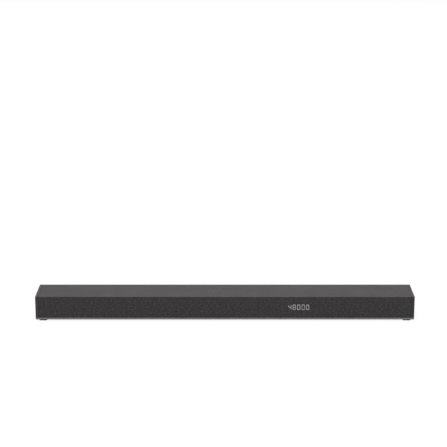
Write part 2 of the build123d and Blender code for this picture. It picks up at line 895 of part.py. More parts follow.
def tongued_socket(x, length, height, tongue_z):
    # A metal shell with a contact tongue across its mouth
    with BuildPart() as socket:
        add(socket_block(x, length, height))
        with BuildSketch(facing_front(y_mouth)):
            with Locations((x, tub_z)):
                Rectangle(length - 2 * socket_shell, height - 2 * socket_shell)
        extrude(amount=socket_mouth_depth, mode=Mode.SUBTRACT)
        with BuildSketch(facing_front(y_mouth - socket_mouth_depth)):
            with Locations((x, tub_z + tongue_z)):
                Rectangle(length - 5 * socket_shell, socket_tongue)
        extrude(amount=-(socket_mouth_depth - socket_shell))
    return socket


save(tongued_socket(data_x, data_length, data_height, data_height / 6), "data_socket")
save(tongued_socket(video_out_x, video_length, video_height, 0), "video_out_socket")
save(tongued_socket(video_in_x, video_length, video_height, 0), "video_in_socket")

with BuildPart() as jack_socket:
    add(socket_block(jack_x, jack_size, jack_size))
    with BuildSketch(facing_front(y_mouth)):
        with Locations((jack_x, tub_z)):
            Circle(jack_bore_radius)
    extrude(amount=jack_bore_length, mode=Mode.SUBTRACT)
save(jack_socket, "jack_socket")

with BuildPart() as optical_socket:
    add(socket_block(optical_x, optical_size, optical_size))
    with BuildSketch(facing_front(y_mouth)):
        with Locations((optical_x, tub_z)):
            Rectangle(optical_mouth, optical_mouth)
    extrude(amount=optical_depth, mode=Mode.SUBTRACT)
save(optical_socket, "optical_socket")

# Shutter of the optical socket, hung from a barrel under the top of its mouth
shutter_width = optical_mouth - 2 * shutter_gap
y_hinge = y_mouth - shutter_inset - shutter_barrel
z_hinge = tub_z + optical_mouth / 2 - shutter_gap - shutter_barrel
with BuildPart() as optical_shutter:
    with BuildSketch(Plane.YZ.offset(optical_x)):
        with Locations((y_hinge, z_hinge)):
            Circle(shutter_barrel)
            Rectangle(
                shutter_wall,
                z_hinge - (tub_z - optical_mouth / 2 + shutter_gap),
                align=(Align.CENTER, Align.MAX),
            )
    extrude(amount=shutter_width / 2, both=True)
save(optical_shutter, "optical_shutter")
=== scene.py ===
import math

import bpy
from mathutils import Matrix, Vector


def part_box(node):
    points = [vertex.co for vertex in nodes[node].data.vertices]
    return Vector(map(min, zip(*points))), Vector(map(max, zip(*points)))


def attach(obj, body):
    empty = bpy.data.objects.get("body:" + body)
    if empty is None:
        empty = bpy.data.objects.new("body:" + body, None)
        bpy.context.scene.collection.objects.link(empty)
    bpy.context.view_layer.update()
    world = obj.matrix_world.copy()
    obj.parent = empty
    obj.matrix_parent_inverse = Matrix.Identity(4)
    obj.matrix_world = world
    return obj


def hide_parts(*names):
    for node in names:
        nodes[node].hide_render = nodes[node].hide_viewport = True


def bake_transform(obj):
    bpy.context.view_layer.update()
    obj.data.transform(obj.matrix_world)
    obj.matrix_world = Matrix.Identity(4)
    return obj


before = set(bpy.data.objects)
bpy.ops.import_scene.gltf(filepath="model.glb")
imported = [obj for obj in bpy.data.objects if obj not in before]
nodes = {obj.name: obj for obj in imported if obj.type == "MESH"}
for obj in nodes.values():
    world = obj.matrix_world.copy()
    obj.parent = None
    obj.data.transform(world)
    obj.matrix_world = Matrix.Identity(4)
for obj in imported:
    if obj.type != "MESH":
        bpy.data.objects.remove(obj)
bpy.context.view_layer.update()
mm = 0.001  # the frame is in metres, the sizes below are in millimetres
tiny = 0.01 * mm  # a point this near to a place counts as there
overcut = 1.0  # how far a cutter stands past what it cuts
print("stage: CAD frame loaded,", len(nodes), "nodes")

# Camera: a long lens in front of the bar, a little above it, for a square 447 px picture
photoView = {
    "lens": 114.83,
    "sensor": 36.0,
    "place": (-3.9, -3793.0, 1330.0),
    "downwards": 15.669,
}
cameraData = bpy.data.cameras.new("photoCamera")
cameraData.sensor_fit = "HORIZONTAL"
cameraData.sensor_width = photoView["sensor"]
cameraData.lens = photoView["lens"]
camera = bpy.data.objects.new("photoCamera", cameraData)
camera.location = [mm * value for value in photoView["place"]]
camera.rotation_euler = (math.radians(90 - photoView["downwards"]), 0, 0)
bpy.context.scene.collection.objects.link(camera)
bpy.context.scene.camera = camera
bpy.context.scene.view_settings.view_transform = "Standard"
print("stage: camera set")


def srgb(code):
    channels = [int(code[i : i + 2], 16) / 255 for i in (1, 3, 5)]
    linear = [c / 12.92 if c <= 0.04045 else ((c + 0.055) / 1.055) ** 2.4 for c in channels]
    return (*linear, 1.0)


def addNode(tree, kind, values=None, links=None, **settings):
    node = tree.nodes.new(kind)
    for name, value in settings.items():
        setattr(node, name, value)
    for socket, value in (values or {}).items():
        node.inputs[socket].default_value = value
    for socket, source in (links or {}).items():
        tree.links.new(source, node.inputs[socket])
    return node


def startMaterial(name, **finish):
    # finish holds the shader's own sockets, with _ for the spaces in their names
    material = bpy.data.materials.new(name)
    material.use_nodes = True
    tree = material.node_tree
    shader = tree.nodes["Principled BSDF"]
    for socket, value in finish.items():
        shader.inputs[socket.replace("_", " ")].default_value = value
    place = addNode(tree, "ShaderNodeTexCoord").outputs["Object"]
    return material, tree, shader, place


def perMm(size):
    # texture scale for a pattern of this size in millimetres
    return 1000 / size


# sockets of ShaderNodeMix when it mixes colours
mixAmount = 0
mixFirst = 6
mixSecond = 7
mixColour = 2

# Moulded resin: the tool's spark-eroded grain gives tiny matt bumps, and the melt's flow a faint slow
# mottle.
# The colour is darker in the grain's pits and paler on its peaks, which is painted shade and painted
# highlight, times the real mottle.
resinSpec = {
    "mottle": 45.0,
    "tones": (0.12, 0.38),  # speckle times mottle in the pits and on the peaks
    "glossSpread": 0.06,
    "bump": 0.5,
}


def mouldedPlastic(name, shadedPitColour, litPeakColour, roughness, grain, relief, specular=0.5):
    spec = resinSpec
    material, tree, shader, place = startMaterial(name, Specular_IOR_Level=specular)
    speckle = addNode(
        tree,
        "ShaderNodeTexNoise",
        {"Scale": perMm(grain), "Detail": 3, "Roughness": 0.6},
        {"Vector": place},
    ).outputs["Fac"]
    flow = addNode(
        tree,
        "ShaderNodeTexNoise",
        {"Scale": perMm(spec["mottle"]), "Detail": 2, "Roughness": 0.5},
        {"Vector": place},
    ).outputs["Fac"]
    together = addNode(
        tree, "ShaderNodeMath", links={0: speckle, 1: flow}, operation="MULTIPLY"
    ).outputs[0]
    darkest, palest = spec["tones"]
    tone = addNode(
        tree,
        "ShaderNodeMapRange",
        {"From Min": darkest, "From Max": palest},
        {"Value": together},
    ).outputs[0]
    # painted shade in the grain's pits and painted highlight on its peaks, times the real mottle
    colour = addNode(
        tree,
        "ShaderNodeMix",
        {mixFirst: srgb(shadedPitColour), mixSecond: srgb(litPeakColour)},
        {mixAmount: tone},
        data_type="RGBA",
    ).outputs[mixColour]
    duller = roughness + spec["glossSpread"]
    glossier = roughness - spec["glossSpread"]
    gloss = addNode(
        tree,
        "ShaderNodeMapRange",
        {"From Min": 0.3, "From Max": 0.7, "To Min": glossier, "To Max": duller},
        {"Value": flow},
    ).outputs[0]
    bump = addNode(
        tree,
        "ShaderNodeBump",
        {"Strength": spec["bump"], "Distance": relief * mm},
        {"Height": speckle},
    ).outputs[0]
    tree.links.new(colour, shader.inputs["Base Color"])
    tree.links.new(gloss, shader.inputs["Roughness"])
    tree.links.new(bump, shader.inputs["Normal"])
    return material


# Drawn, rolled or turned metal: fine lines along X, brighter where the tool has pressed
metalSpec = {"glossSpread": 0.08, "bump": 0.3, "relief": 0.01}


def brushedMetal(name, dull, bright, roughness, line, stretch):
    spec = metalSpec
    material, tree, shader, place = startMaterial(name, Metallic=1.0)
    lay = addNode(tree, "ShaderNodeMapping", {"Scale": (1 / stretch, 1, 1)}, {"Vector": place}).outputs[0]
    lines = addNode(
        tree,
        "ShaderNodeTexNoise",
        {"Scale": perMm(line), "Detail": 4, "Roughness": 0.6},
        {"Vector": lay},
    ).outputs["Fac"]
    colour = addNode(
        tree,
        "ShaderNodeMix",
        {mixFirst: srgb(dull), mixSecond: srgb(bright)},
        {mixAmount: lines},
        data_type="RGBA",
    ).outputs[mixColour]
    gloss = addNode(
        tree,
        "ShaderNodeMapRange",
        {"To Min": roughness - spec["glossSpread"], "To Max": roughness + spec["glossSpread"]},
        {"Value": lines},
    ).outputs[0]
    bump = addNode(
        tree,
        "ShaderNodeBump",
        {"Strength": spec["bump"], "Distance": spec["relief"] * mm},
        {"Height": lines},
    ).outputs[0]
    tree.links.new(colour, shader.inputs["Base Color"])
    tree.links.new(gloss, shader.inputs["Roughness"])
    tree.links.new(bump, shader.inputs["Normal"])
    return material


# Plastics: colour in the pits (painted shade) and on the peaks (painted highlight), roughness, grain and
# relief in mm, specular level.
# The grain is drawn a few times coarser than real, so that it shows from arm's length.
# Satin ABS: soft sheen on the shells, and a smoother tray that catches the light along its strip.
# The tray's pale grey is partly its own trim colour and partly painted light, raised so that its down-facing
# strip shows bright.
coverAbs = mouldedPlastic("satinAbsCover", "#464445", "#545253", 0.75, 0.7, 0.14, 0.06)
keyAbs = mouldedPlastic("satinAbsKeys", "#454344", "#535152", 0.72, 0.6, 0.1, 0.06)
capAbs = mouldedPlastic("satinAbsCaps", "#2e2c2d", "#3d3b3c", 0.62, 0.7, 0.14, 0.14)
trayAbs = mouldedPlastic("satinAbsTray", "#615f60", "#6f6c6e", 0.4, 0.7, 0.07, 0.6)
# Grained ABS of the back: a coarser texture that hides scratches
rearAbs = mouldedPlastic("grainedAbsRear", "#272627", "#3c3b3c", 0.62, 1.0, 0.25, 0.2)
# Nylon and polystyrene: plain black mouldings with a dull shine
blackNylon = mouldedPlastic("blackNylon", "#161617", "#202021", 0.5, 0.8, 0.02)
framePolymer = mouldedPlastic("blackPolystyrene", "#19191a", "#242425", 0.55, 1.0, 0.03)
# Polycarbonate and acrylic: a white block that spreads light, and a smooth dark lens
whiteDiffuser = mouldedPlastic("whitePolycarbonate", "#d9dbdd", "#e6e8ea", 0.45, 1.2, 0.01)
smokedAcrylic = mouldedPlastic("smokedAcrylic", "#1c1c1d", "#252526", 0.12, 2.0, 0.002)
# Shrink sleeve and winding tape: thin glossy film
sleevePvc = mouldedPlastic("blueShrinkSleeve", "#161b33", "#1f2545", 0.3, 1.5, 0.01)
windingTape = mouldedPlastic("polyesterTape", "#c79c1d", "#dbb02c", 0.3, 2.5, 0.02)
# Rubbers: dull, with hardly any mirror light
footRubber = mouldedPlastic("mouldedRubber", "#242325", "#2f2d2f", 0.85, 0.5, 0.04, 0.15)
rollRubber = mouldedPlastic("butylRubber", "#1d1d1d", "#272727", 0.7, 0.7, 0.02, 0.3)
# Pressed fibre and ferrite: matt, with a felted and a sandy speckle
pressedFibre = mouldedPlastic("pressedFibre", "#232221", "#32302f", 0.85, 0.8, 0.08, 0.2)
ferrite = mouldedPlastic("sinteredFerrite", "#2e2e2f", "#414142", 0.6, 0.6, 0.05)
# Enamel and pad print: glossy black paint, and a thin matt grey ink
enamelSteel = mouldedPlastic("blackEnamel", "#1b1b1b", "#262626", 0.35, 1.8, 0.01)
keyInk = mouldedPlastic("greyPadPrint", "#777576", "#828081", 0.6, 0.3, 0.005, 0.15)

# Metals: dull and bright colour, roughness, width of the lines in mm, how many times longer they are
# Blackened steel: dark oxide, and tinned steel: pale with rolling lines
blackScrew = brushedMetal("blackenedSteel", "#37373a", "#56565a", 0.4, 0.3, 1)
tinPlate = brushedMetal("tinnedSteel", "#a9a9a9", "#cfcfcf", 0.32, 0.25, 6)
# Turned brass, extruded aluminium and gold plate: warm, cool and warm again, each with its tool's fine marks
turnedBrass = brushedMetal("turnedBrass", "#a8843f", "#d9b768", 0.3, 0.2, 1)
extrudedAluminium = brushedMetal("extrudedAluminium", "#b5b7ba", "#dddfe2", 0.38, 0.4, 1)
goldPlate = brushedMetal("goldPlatedContact", "#b98f35", "#ecc86a", 0.22, 0.2, 3)

# Glass-fibre board: glossy green solder mask over copper tracks
boardSpec = {"track": 6.0, "relief": 0.04}


def solderMask():
    spec = boardSpec
    material, tree, shader, place = startMaterial("solderMaskBoard", Roughness=0.28)
    tracks = addNode(
        tree,
        "ShaderNodeTexBrick",
        {
            "Color1": srgb("#12402b"),
            "Color2": srgb("#164a32"),
            "Mortar": srgb("#2a6d4a"),
            "Scale": perMm(spec["track"]),
            "Mortar Size": 0.05,
            "Brick Width": 1.4,
            "Row Height": 0.35,
        },
        {"Vector": place},
    ).outputs
    bump = addNode(
        tree,
        "ShaderNodeBump",
        {"Strength": 0.4, "Distance": spec["relief"] * mm},
        {"Height": tracks["Fac"]},
    ).outputs[0]
    tree.links.new(tracks["Color"], shader.inputs["Base Color"])
    tree.links.new(bump, shader.inputs["Normal"])
    return material


boardMask = solderMask()

# Polyester gauze: matt black threads with open holes between them, drawn at 1.2 mm so that they show
gauzeWeave = {"thread": 1.2, "relief": 0.1}


def wovenGauze():
    spec = gauzeWeave
    material, tree, shader, place = startMaterial("polyesterGauze", Roughness=0.8, Specular_IOR_Level=0.2)
    holes = addNode(
        tree,
        "ShaderNodeTexVoronoi",
        {"Scale": perMm(spec["thread"]), "Randomness": 0.0},
        {"Vector": place},
        distance="CHEBYCHEV",
    ).outputs["Distance"]
    colour = addNode(
        tree,
        "ShaderNodeMix",
        {mixFirst: srgb("#080808"), mixSecond: srgb("#1f1f20")},
        {mixAmount: holes},
        data_type="RGBA",
    ).outputs[mixColour]
    bump = addNode(
        tree,
        "ShaderNodeBump",
        {"Strength": 0.6, "Distance": spec["relief"] * mm},
        {"Height": holes},
    ).outputs[0]
    tree.links.new(colour, shader.inputs["Base Color"])
    tree.links.new(bump, shader.inputs["Normal"])
    return material


blackGauze = wovenGauze()

# Acoustic cloth: plain weave of melange yarn, matt, with paler and darker flecks along the threads.
# The real threads are about 0.6 mm apart, and are drawn at 1.1 mm so that they show in the picture.
clothWeave = {
    "thread": 1.1,
    "relief": 0.12,
    "fleckLength": 6.0,
    "fleckHeight": 3.0,
    "dark": "#232122",
    "middle": "#383637",
    "pale": "#555354",
}


def weaveNodes(tree, place):
    # the pattern's place on the front, and the height of the threads from 0 to 1
    spec = clothWeave
    onFront = addNode(tree, "ShaderNodeMapping", {"Scale": (1, 0, 1)}, {"Vector": place}).outputs[0]
    waveScale = math.pi / 10 * perMm(spec["thread"]) / 2
    threads = []
    for way in ("X", "Z"):
        wave = addNode(
            tree,
            "ShaderNodeTexWave",
            {"Scale": waveScale, "Distortion": 0.6, "Detail": 1, "Detail Scale": 2},
            {"Vector": onFront},
            bands_direction=way,
        )
        threads.append(wave.outputs["Fac"])
    crossing = addNode(
        tree,
        "ShaderNodeTexChecker",
        {"Scale": perMm(spec["thread"])},
        {"Vector": onFront},
    ).outputs["Fac"]
    height = addNode(
        tree,
        "ShaderNodeMix",
        links={0: crossing, 2: threads[0], 3: threads[1]},
        data_type="FLOAT",
    ).outputs[0]
    return onFront, height


def melangeCloth():
    spec = clothWeave
    material, tree, shader, place = startMaterial(
        "melangeCloth", Roughness=0.95, Specular_IOR_Level=0.15, Sheen_Weight=0.12, Sheen_Roughness=0.5
    )
    onFront, height = weaveNodes(tree, place)
    alongYarn = addNode(
        tree,
        "ShaderNodeMapping",
        {"Scale": (spec["fleckHeight"] / spec["fleckLength"], 1, 1)},
        {"Vector": onFront},
    ).outputs[0]
    flecks = addNode(
        tree,
        "ShaderNodeTexNoise",
        {"Scale": perMm(spec["fleckHeight"]), "Detail": 4, "Roughness": 0.75},
        {"Vector": alongYarn},
    ).outputs["Fac"]
    ramp = addNode(tree, "ShaderNodeValToRGB", links={"Fac": flecks})
    stops = ramp.color_ramp.elements
    stops[0].position = 0.28
    stops[0].color = srgb(spec["dark"])
    stops[1].position = 0.72
    stops[1].color = srgb(spec["pale"])
    middle = stops.new(0.5)
    middle.color = srgb(spec["middle"])
    # painted shade and painted highlight: the colour is darker in the weave's hollows and paler on the
    # thread crests, by the threads' height
    hollow = addNode(
        tree, "ShaderNodeMapRange", {"To Min": 0.62, "To Max": 1.12}, {"Value": height}
    ).outputs[0]
    colour = addNode(
        tree,
        "ShaderNodeMix",
        {mixAmount: 1.0},
        {mixFirst: ramp.outputs["Color"], mixSecond: hollow},
        data_type="RGBA",
        blend_type="MULTIPLY",
    ).outputs[mixColour]
    bump = addNode(
        tree, "ShaderNodeBump", {"Strength": 0.7, "Distance": spec["relief"] * mm}, {"Height": height}
    ).outputs[0]
    tree.links.new(colour, shader.inputs["Base Color"])
    tree.links.new(bump, shader.inputs["Normal"])
    return material


clothMelange = melangeCloth()

# Light of the digits: soft white, broken up by the threads that it shines through
glowSpec = {"patch": 3.0, "dimmest": 0.04, "brightest": 1.0}


def glowThroughCloth():
    spec = glowSpec
    material, tree, shader, place = startMaterial("ledGlow", Roughness=0.9, Specular_IOR_Level=0.1)
    onFront, height = weaveNodes(tree, place)
    shader.inputs["Base Color"].default_value = srgb("#4a4849")
    patches = addNode(
        tree, "ShaderNodeTexNoise", {"Scale": perMm(spec["patch"]), "Detail": 2}, {"Vector": onFront}
    ).outputs["Fac"]
    throughHoles = addNode(
        tree, "ShaderNodeMath", links={0: height, 1: patches}, operation="ADD"
    ).outputs[0]
    light = addNode(
        tree,
        "ShaderNodeMapRange",
        {"From Min": 0.3, "From Max": 1.4, "To Min": spec["dimmest"], "To Max": spec["brightest"]},
        {"Value": throughHoles},
    ).outputs[0]
    shader.inputs["Emission Color"].default_value = srgb("#f4f6fa")
    tree.links.new(light, shader.inputs["Emission Strength"])
    return material


ledGlow = glowThroughCloth()
print("stage: materials made")

# Finish of each CAD node, also of those that a modelled piece stands for further down
nodeFinish = {
    coverAbs: ["top_cover"],
    keyAbs: ["power_key", "source_key", "volume_down_key", "volume_up_key"],
    capAbs: ["left_end_cap", "right_end_cap"],
    trayAbs: ["bottom_tray"],
    rearAbs: ["left_rear_panel", "right_rear_panel", "connector_frame"],
    framePolymer: ["connector_plate", "front_baffle", "grille_lattice", "cover_pillars", "tweeters"],
    blackNylon: [
        "power_inlet",
        "jack_socket",
        "optical_socket",
        "optical_shutter",
        "key_switches",
        "processor",
    ],
    tinPlate: ["data_socket", "video_out_socket", "video_in_socket", "inlet_pins", "radio_module"],
    turnedBrass: ["wall_inserts", "board_standoffs"],
    extrudedAluminium: ["heatsink"],
    boardMask: ["key_board", "display_board", "power_board", "amplifier_board", "main_board"],
    smokedAcrylic: ["display_lens", "remote_receiver"],
    whiteDiffuser: ["display_block"],
    sleevePvc: ["reservoir_capacitor"],
    windingTape: ["transformer"],
    enamelSteel: ["woofer_baskets"],
    ferrite: ["woofer_motors"],
    pressedFibre: ["left_diaphragm", "right_diaphragm"],
    rollRubber: ["woofer_surrounds"],
    footRubber: ["feet"],
    blackScrew: ["housing_screws"],
    clothMelange: ["grille_cloth"],
}
for finish, names in nodeFinish.items():
    for name in names:
        nodes[name].data.materials.clear()
        nodes[name].data.materials.append(finish)
missing = set(nodes) - {name for names in nodeFinish.values() for name in names}
print("stage: CAD nodes painted, without material:", sorted(missing))

# Moulded edges: the shells' arrises are rounded a little, so that they catch the light
edgeRound = {
    "top_cover": 0.5,
    "left_end_cap": 0.5,
    "right_end_cap": 0.5,
    "bottom_tray": 0.4,
    "left_rear_panel": 0.4,
    "right_rear_panel": 0.4,
    "connector_frame": 0.4,
    "power_key": 0.25,
    "source_key": 0.25,
    "volume_down_key": 0.25,
    "volume_up_key": 0.25,
}
for name, width in edgeRound.items():
    weld = nodes[name].modifiers.new("weld", "WELD")
    weld.merge_threshold = tiny
    facets = nodes[name].modifiers.new("plainFaces", "DECIMATE")
    facets.decimate_type = "DISSOLVE"
    facets.angle_limit = math.radians(1)
    arris = nodes[name].modifiers.new("arris", "BEVEL")
    arris.width = width * mm
    arris.segments = 2
    arris.limit_method = "ANGLE"
    arris.angle_limit = math.radians(40)
    arris.use_clamp_overlap = False
print("stage: shell edges rounded")


def deselectAll():
    if bpy.context.mode != "OBJECT":
        bpy.ops.object.mode_set(mode="OBJECT")
    bpy.ops.object.select_all(action="DESELECT")


def selectOnly(piece):
    deselectAll()
    piece.select_set(True)
    bpy.context.view_layer.objects.active = piece


def startPick(kind):
    bpy.ops.object.mode_set(mode="EDIT")
    bpy.ops.mesh.select_mode(type=kind)
    bpy.ops.mesh.select_all(action="DESELECT")
    bpy.ops.object.mode_set(mode="OBJECT")


def pickFaces(piece, test):
    # leaves the piece in edit mode with the faces selected whose centre and normal pass the test
    startPick("FACE")
    for face in piece.data.polygons:
        face.select = test(face.center, face.normal)
    bpy.ops.object.mode_set(mode="EDIT")


def pickEdges(piece, test):
    # the same for edges, by their two end points
    startPick("EDGE")
    points = [vertex.co for vertex in piece.data.vertices]
    for edge in piece.data.edges:
        edge.select = test(points[edge.vertices[0]], points[edge.vertices[1]])
    bpy.ops.object.mode_set(mode="EDIT")


def pickPoints(piece, test):
    # the same for single points
    startPick("VERT")
    for vertex in piece.data.vertices:
        vertex.select = test(vertex.co)
    bpy.ops.object.mode_set(mode="EDIT")


def facing(x, y, z):
    # test for pickFaces: the face looks this way
    way = Vector((x, y, z))
    return lambda centre, normal: normal.dot(way) > 0.9


def edgeAt(axis, level):
    # test for pickEdges: both ends lie at this level, on axis 0, 1 or 2 for X, Y or Z
    return lambda a, b: abs(a[axis] - level) < tiny and abs(b[axis] - level) < tiny


def edgeAlong(axis):
    # test for pickEdges: the edge of a box that runs along this axis
    return lambda a, b: abs(a[axis] - b[axis]) > tiny


def drawOut(x, y, z):
    # extrudes what is selected by a step in millimetres
    bpy.ops.mesh.extrude_region_move(TRANSFORM_OT_translate={"value": (x * mm, y * mm, z * mm)})


def bevelPicked(width, segments):
    bpy.ops.mesh.bevel(offset=width * mm, segments=segments, affect="EDGES")
    bpy.ops.object.mode_set(mode="OBJECT")


def startBox(name, low, high):
    # a box between two corners in millimetres, its place already in its mesh
    deselectAll()
    middle = [(a + b) / 2 * mm for a, b in zip(low, high)]
    bpy.ops.mesh.primitive_cube_add(size=1, location=middle)
    piece = bpy.context.object
    piece.name = name
    piece.scale = [(b - a) * mm for a, b in zip(low, high)]
    bpy.ops.object.transform_apply(location=True, rotation=True, scale=True)
    return piece


def startDisc(name, centre, radius, low, high, count=40):
    # an upright round blank between two heights, its centre given in X and Y, all in millimetres
    deselectAll()
    bpy.ops.mesh.primitive_cylinder_add(
        vertices=count,
        radius=radius * mm,
        depth=(high - low) * mm,
        location=(centre[0] * mm, centre[1] * mm, (low + high) / 2 * mm),
    )
    disc = bpy.context.object
    disc.name = name
    bpy.ops.object.transform_apply(location=True, rotation=True, scale=True)
    return disc


def startRod(name, centre, radius, low, high, count=40, turn=0):
    # a round blank along Y between two depths, its centre given in X and Z
    deselectAll()
    bpy.ops.mesh.primitive_cylinder_add(
        vertices=count,
        radius=radius * mm,
        depth=(high - low) * mm,
        location=(centre[0] * mm, (low + high) / 2 * mm, centre[1] * mm),
        rotation=(math.radians(90), math.radians(turn), 0),
    )
    rod = bpy.context.object
    rod.name = name
    bpy.ops.object.transform_apply(location=True, rotation=True, scale=True)
    return rod


def applyModifiers(piece):
    selectOnly(piece)
    for modifier in list(piece.modifiers):
        bpy.ops.object.modifier_apply(modifier=modifier.name)


def cutWith(piece, cutters):
    for cutter in cutters:
        cut = piece.modifiers.new("cut", "BOOLEAN")
        cut.operation = "DIFFERENCE"
        cut.object = cutter
        applyModifiers(piece)
        bpy.data.objects.remove(cutter)


def copyTo(piece, offset):
    # a copy with its own mesh, moved by an offset in millimetres
    selectOnly(piece)
    bpy.ops.object.duplicate(linked=False)
    copy = bpy.context.object
    copy.location = [mm * value for value in offset]
    bpy.ops.object.transform_apply(location=True, rotation=True, scale=True)
    return copy


def joinPieces(name, pieces):
    selectOnly(pieces[0])
    for piece in pieces[1:]:
        piece.select_set(True)
    if len(pieces) > 1:
        bpy.ops.object.join()
    joined = bpy.context.object
    joined.name = name
    joined.data.name = name
    return joined


def finishPiece(piece, material, body, smoothAngle=35):
    # a piece that bends between two bodies comes with no body here
    selectOnly(piece)
    bpy.ops.object.shade_smooth_by_angle(angle=math.radians(smoothAngle))
    piece.data.materials.clear()
    piece.data.materials.append(material)
    if body:
        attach(piece, body)
    return piece


# Grille cloth: stretched over the lattice, its rim turned round the lattice's edge
clothSpec = {"columns": 206, "rows": 12, "rim": 1.1, "wall": 0.6}


# Map of the cloth for a baked finish: the flat cut lies in strips, one above the other, so that the threads
# stay sharp, and the unseen inner side is squeezed in on top.
clothMap = {"name": "OFBake", "strips": 4, "gap": 1.0, "innerTall": 2.0}


def foldOut(point, low, high):
    # where a point of the cloth lies on the flat cut, with the turned rim folded out
    turned = high.y - low.y
    rim = clothSpec["rim"] * mm + tiny
    flat = []
    for axis in (0, 2):
        place = point[axis] - low[axis] + turned
        if point[axis] > high[axis] - rim:
            place += point.y - low.y
        elif point[axis] < low[axis] + rim:
            place -= point.y - low.y
        flat.append(place)
    return flat


def mapCloth(cloth, low, high, flatLong, flatTall):
    spec = clothMap
    strips = spec["strips"]
    gap = spec["gap"] * mm
    innerTall = spec["innerTall"] * mm
    stripLong = flatLong / strips
    column = flatLong / clothSpec["columns"]  # a face reaches at most half of this past its strip
    mapLong = stripLong + column
    mapTall = strips * (flatTall + innerTall + 2 * gap)
    behind = Vector(((low.x + high.x) / 2, high.y, (low.z + high.z) / 2))
    places = [foldOut(vertex.co, low, high) for vertex in cloth.data.vertices]
    layer = cloth.data.uv_layers.new(name=spec["name"])
    for face in cloth.data.polygons:
        outer = face.normal.dot(face.center - behind) > tiny
        tall = flatTall if outer else innerTall
        start = 0 if outer else strips * (flatTall + gap)
        middle = sum(places[vertex][0] for vertex in face.vertices) / len(face.vertices)
        strip = int(middle / stripLong)
        for loop, vertex in zip(face.loop_indices, face.vertices):
            x, z = places[vertex]
            u = (x - strip * stripLong + column / 2) / mapLong
            v = (start + strip * (tall + gap) + z / flatTall * tall) / mapTall
            layer.data[loop].uv = (u, v)


def makeCloth():
    spec = clothSpec
    low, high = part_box("grille_cloth")
    deselectAll()
    bpy.ops.mesh.primitive_grid_add(
        x_subdivisions=spec["columns"],
        y_subdivisions=spec["rows"],
        size=1,
        location=((low.x + high.x) / 2, low.y, (low.z + high.z) / 2),
        rotation=(math.radians(90), 0, 0),
    )
    cloth = bpy.context.object
    cloth.name = "stretchedCloth"
    cloth.scale = (high.x - low.x, high.z - low.z, 1)
    bpy.ops.object.transform_apply(location=True, rotation=True, scale=True)
    bpy.ops.object.mode_set(mode="EDIT")
    bpy.ops.mesh.select_all(action="SELECT")
    bpy.ops.mesh.region_to_loop()
    bpy.ops.mesh.extrude_edges_move(TRANSFORM_OT_translate={"value": (0, high.y - low.y, 0)})

    def onRim(a, b):
        inFront = edgeAt(1, low.y)(a, b)
        onEnd = edgeAt(0, low.x)(a, b) or edgeAt(0, high.x)(a, b)
        onSide = edgeAt(2, low.z)(a, b) or edgeAt(2, high.z)(a, b)
        return inFront and (onEnd or onSide)

    pickEdges(cloth, onRim)
    bevelPicked(spec["rim"], 4)
    bpy.ops.object.mode_set(mode="EDIT")
    bpy.ops.mesh.select_all(action="SELECT")
    bpy.ops.mesh.normals_make_consistent(inside=False)
    bpy.ops.object.mode_set(mode="OBJECT")
    wall = cloth.modifiers.new("wall", "SOLIDIFY")
    wall.thickness = spec["wall"] * mm
    wall.offset = -1
    applyModifiers(cloth)
    turned = 2 * (high.y - low.y)
    flat = (high.x - low.x + turned, high.z - low.z + turned)
    mapCloth(cloth, low, high, *flat)
    finishPiece(cloth, clothMelange, "housing")
    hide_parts("grille_cloth")
    return cloth


cloth = makeCloth()
print("stage: cloth stretched,", len(cloth.data.polygons), "faces")

# Digits of the display: seven-segment figures, lit through the cloth
digitSpec = {
    "figures": "48000",
    "middleX": 204.3,
    "middleZ": 40.4,
    "pitch": 12.3,
    "width": 7.6,
    "height": 14.8,
    "stroke": 0.85,
    "gap": 0.25,
    "point": 0.96,  # share of the half stroke that the pointed ends take
    "thick": 0.06,
}
segmentsOf = {
    "0": "abcdef",
    "1": "bc",
    "2": "abdeg",
    "3": "abcdg",
    "4": "bcfg",
    "5": "acdfg",
    "6": "acdefg",
    "7": "abc",
    "8": "abcdefg",
    "9": "abcdfg",
}


def makeSegment(name, length, upright):
    # a flat bar with pointed ends, at the middle of the display
    spec = digitSpec
    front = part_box("grille_cloth")[0].y / mm
    halfLong = length / 2
    halfWide = spec["stroke"] / 2
    sizeX, sizeZ = (halfWide, halfLong) if upright else (halfLong, halfWide)
    low = (spec["middleX"] - sizeX, front - spec["thick"], spec["middleZ"] - sizeZ)
    high = (spec["middleX"] + sizeX, front, spec["middleZ"] + sizeZ)
    segment = startBox(name, low, high)
    pickEdges(segment, edgeAlong(1))
    bevelPicked(halfWide * spec["point"], 1)
    return segment


def makeDigits():
    spec = digitSpec
    halfW = (spec["width"] - spec["stroke"]) / 2
    halfH = (spec["height"] - spec["stroke"]) / 2
    upright = makeSegment("uprightSegment", halfH - 2 * spec["gap"], True)
    level = makeSegment("levelSegment", 2 * halfW - 2 * spec["gap"], False)
    places = {
        "a": (level, 0, halfH),
        "b": (upright, halfW, halfH / 2),
        "c": (upright, halfW, -halfH / 2),
        "d": (level, 0, -halfH),
        "e": (upright, -halfW, -halfH / 2),
        "f": (upright, -halfW, halfH / 2),
        "g": (level, 0, 0),
    }
    copies = []
    first = -(len(spec["figures"]) - 1) / 2
    for i, figure in enumerate(spec["figures"]):
        for key in segmentsOf[figure]:
            pattern, x, z = places[key]
            copies.append(copyTo(pattern, (x + (first + i) * spec["pitch"], 0, z)))
    for pattern in (upright, level):
        bpy.data.objects.remove(pattern)
    digits = joinPieces("displayDigits", copies)
    return finishPiece(digits, ledGlow, "housing")


digits = makeDigits()
print("stage: digits lit,", len(digits.data.polygons), "faces")

# Feet: moulded rubber pads with rounded corners and a dished grip face underneath
footSpec = {
    "long": 21.0,
    "wide": 14.0,
    "corner": 3.0,
    "rim": 0.35,
    "ring": 2.2,
    "dish": 0.7,
    "pad": 1.1,
    "padDrop": 0.45,
}


